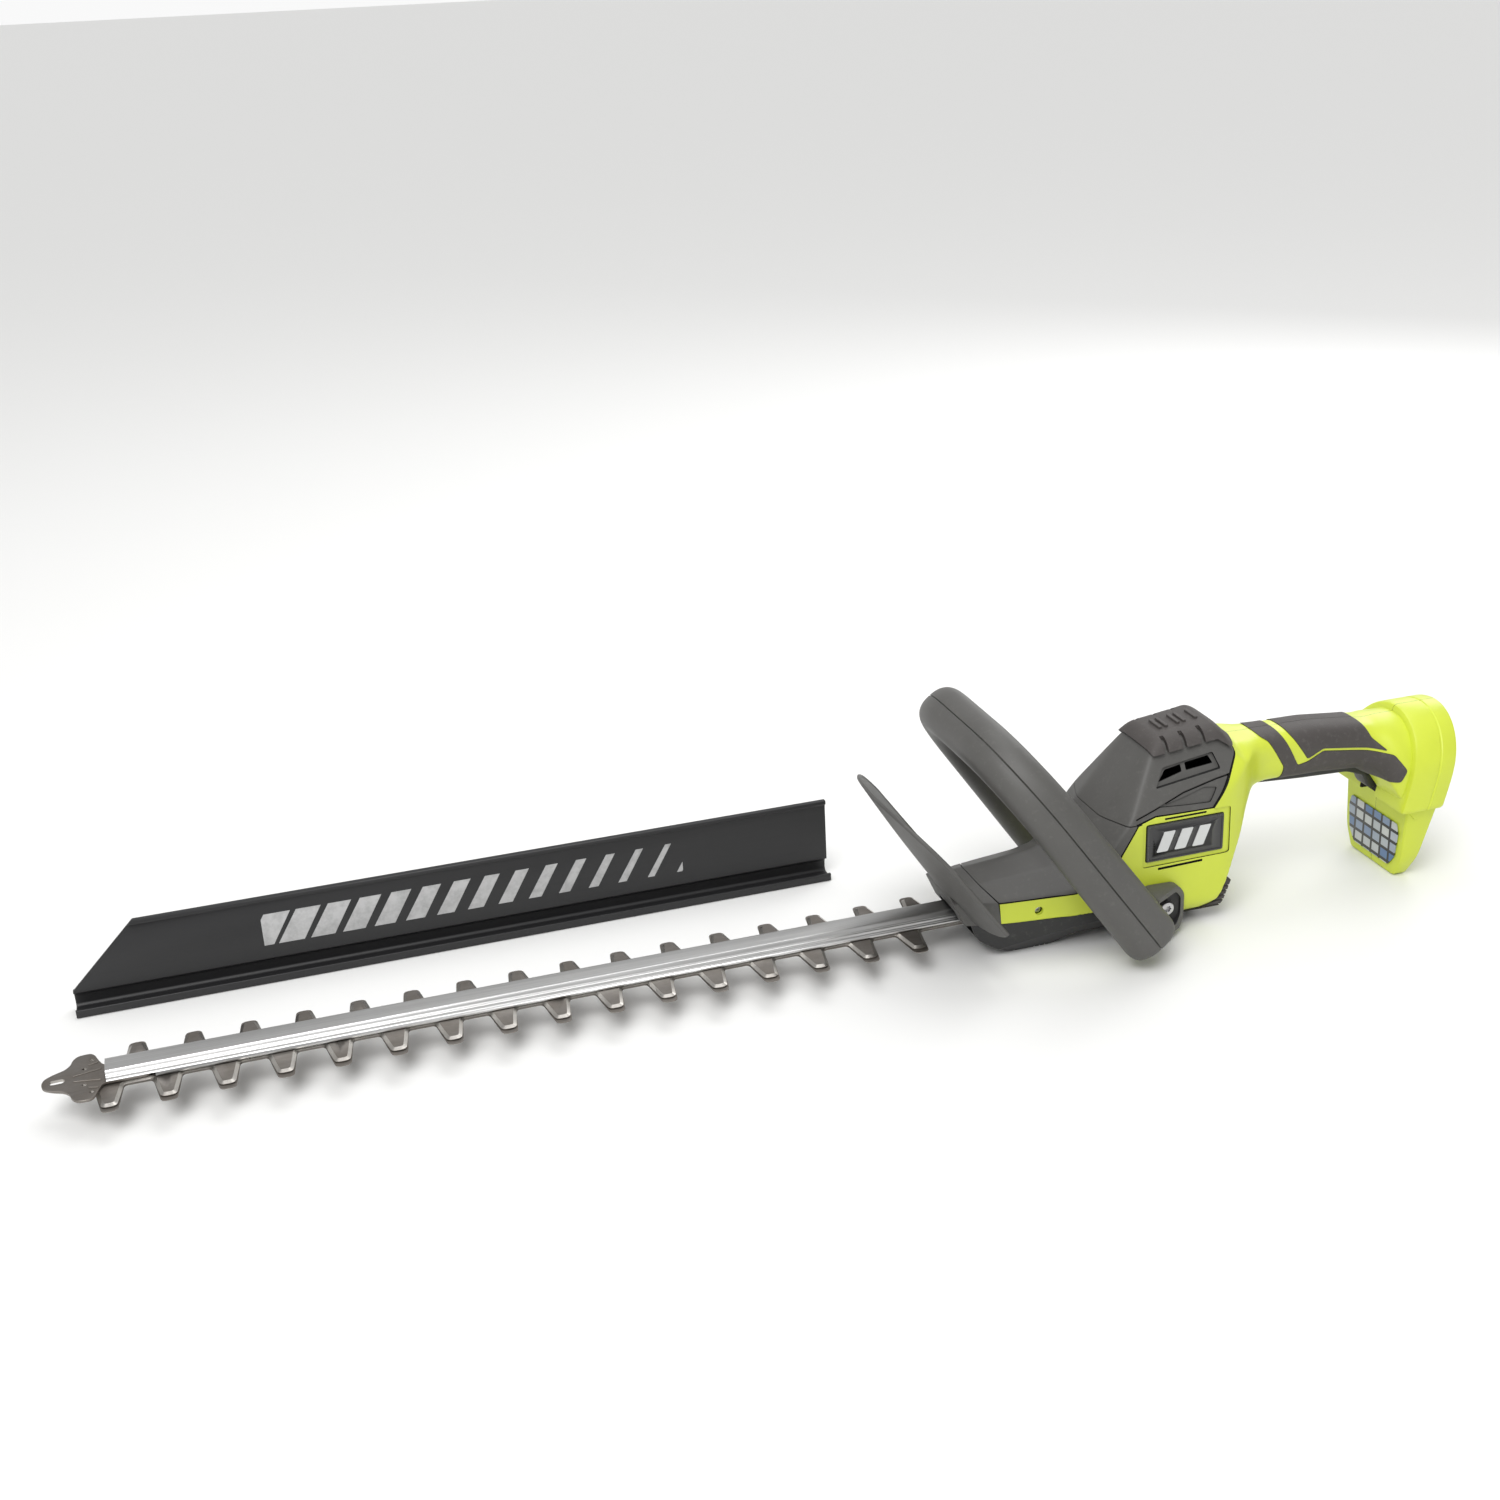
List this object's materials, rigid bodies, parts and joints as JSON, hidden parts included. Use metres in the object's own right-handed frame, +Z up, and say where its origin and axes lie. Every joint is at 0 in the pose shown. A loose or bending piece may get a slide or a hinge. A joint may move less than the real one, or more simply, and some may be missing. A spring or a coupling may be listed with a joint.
{
  "type": "hedge trimmer",
  "caption": "Cordless hedge trimmer with a reciprocating double toothed blade, stiffener bar, hand guard, loop front handle, rear trigger grip, open battery dock and loose debris sweep.",
  "frame": {"origin": "on the crank axis, in the plane the tool rests on, at the foot of the crank bush boss", "axes": "+Z up, +X from the blade tip to the rear handle, -Y the tool's left side"},
  "size_m": [0.8663, 0.206, 0.1541],
  "materials": {
    "green_shell": "moulded, satin",
    "grey_plastic": "fine spark texture",
    "dark_plastic": "fine texture",
    "soft_grip": "soft overmould",
    "blade_steel": "ground, oiled",
    "bright_aluminium": "extruded, bright",
    "zinc_steel": "zinc plated",
    "gear_steel": "greased",
    "brass": "plain",
    "cast_aluminium": "die cast",
    "motor_steel": "rolled can",
    "sweep_plastic": "extruded",
    "label_film": "printed film"
  },
  "bodies": {
    "trimmer_body": {"belly_pad": "dark_plastic", "blade_bolt_1": "zinc_steel", "blade_bolt_2": "zinc_steel", "blade_bolt_3": "zinc_steel", "blade_bolt_4": "zinc_steel", "blade_bolt_5": "zinc_steel", "blade_stiffener": "bright_aluminium", "bumper_cap": "dark_plastic", "cover_screw_1": "zinc_steel", "cover_screw_2": "zinc_steel", "cover_screw_3": "zinc_steel", "cover_screw_4": "zinc_steel", "crank_lower_bush": "brass", "crank_top_bearing": "gear_steel", "dock_label": "label_film", "front_handle_front": "grey_plastic", "front_handle_rear": "grey_plastic", "front_switch": "dark_plastic", "gearcase_bottom_cover": "dark_plastic", "gearcase_plate": "cast_aluminium", "hand_guard": "grey_plastic", "left_badge": "label_film", "left_case_screw": "zinc_steel", "left_grip_lower": "soft_grip", "left_grip_upper": "soft_grip", "left_handle_bracket": "grey_plastic", "left_handle_screw": "zinc_steel", "left_housing": "green_shell", "motor_can": "motor_steel", "motor_cover": "grey_plastic", "nose_cover": "grey_plastic", "rear_switch": "dark_plastic", "right_badge": "label_film", "right_case_screw": "zinc_steel", "right_grip_lower": "soft_grip", "right_grip_upper": "soft_grip", "right_handle_bracket": "grey_plastic", "right_handle_screw": "zinc_steel", "right_housing": "green_shell", "terminal_block": "dark_plastic", "terminal_minus": "brass", "terminal_plus": "brass", "tip_guard": "blade_steel", "trigger_pin": "zinc_steel", "trigger_spring": "zinc_steel"},
    "upper_blade": {"upper_blade": "blade_steel"},
    "lower_blade": {"lower_blade": "blade_steel"},
    "crank": {"crank_gear": "gear_steel", "crank_shaft": "gear_steel", "crank_spacer": "gear_steel", "upper_eccentric": "gear_steel", "lower_eccentric": "gear_steel"},
    "rotor": {"motor_rotor": "motor_steel", "motor_pinion": "gear_steel", "motor_fan": "dark_plastic"},
    "trigger": {"rear_trigger": "dark_plastic"},
    "switch_bar": {"front_switch_bar": "dark_plastic"},
    "sweep": {"debris_sweep": "sweep_plastic"}
  },
  "joints": [
    {"name": "crank_spin", "type": "hinge", "parent": "trimmer_body", "child": "crank", "pos_m": [0, 0, 0.02], "axis": [0, 0, 1], "range_deg": [-90, 90]},
    {"name": "upper_blade_slide", "type": "slide", "parent": "trimmer_body", "child": "upper_blade", "axis": [1, 0, 0], "range_m": [-0.008, 0.008]},
    {"name": "lower_blade_slide", "type": "slide", "parent": "trimmer_body", "child": "lower_blade", "axis": [1, 0, 0], "range_m": [-0.008, 0.008]},
    {"name": "rotor_spin", "type": "hinge", "parent": "trimmer_body", "child": "rotor", "pos_m": [0.0375, 0, 0.06], "axis": [0, 0, 1], "range_deg": [-450, 450]},
    {"name": "trigger_press", "type": "hinge", "parent": "trimmer_body", "child": "trigger", "pos_m": [0.12, 0, 0.08], "axis": [0, -1, 0], "range_deg": [0, 4], "stiffness_Nm_per_rad": 3, "springref_deg": -3.44, "deforming": ["trigger_spring"]},
    {"name": "switch_bar_press", "type": "slide", "parent": "trimmer_body", "child": "switch_bar", "axis": [-0.5821, 0, 0.8131], "range_m": [0, 0.003], "stiffness_N_per_m": 900, "springref_m": -0.002},
    {"name": "sweep_slide", "type": "slide", "parent": "trimmer_body", "child": "sweep", "axis": [0, 1, 0], "range_m": [0, 0.05]}
  ],
  "couplings": [
    {"joint": "upper_blade_slide", "follows": "crank_spin", "m_per_rad": 0.00509},
    {"joint": "lower_blade_slide", "follows": "crank_spin", "m_per_rad": -0.00509},
    {"joint": "rotor_spin", "follows": "crank_spin", "ratio": -5}
  ]
}
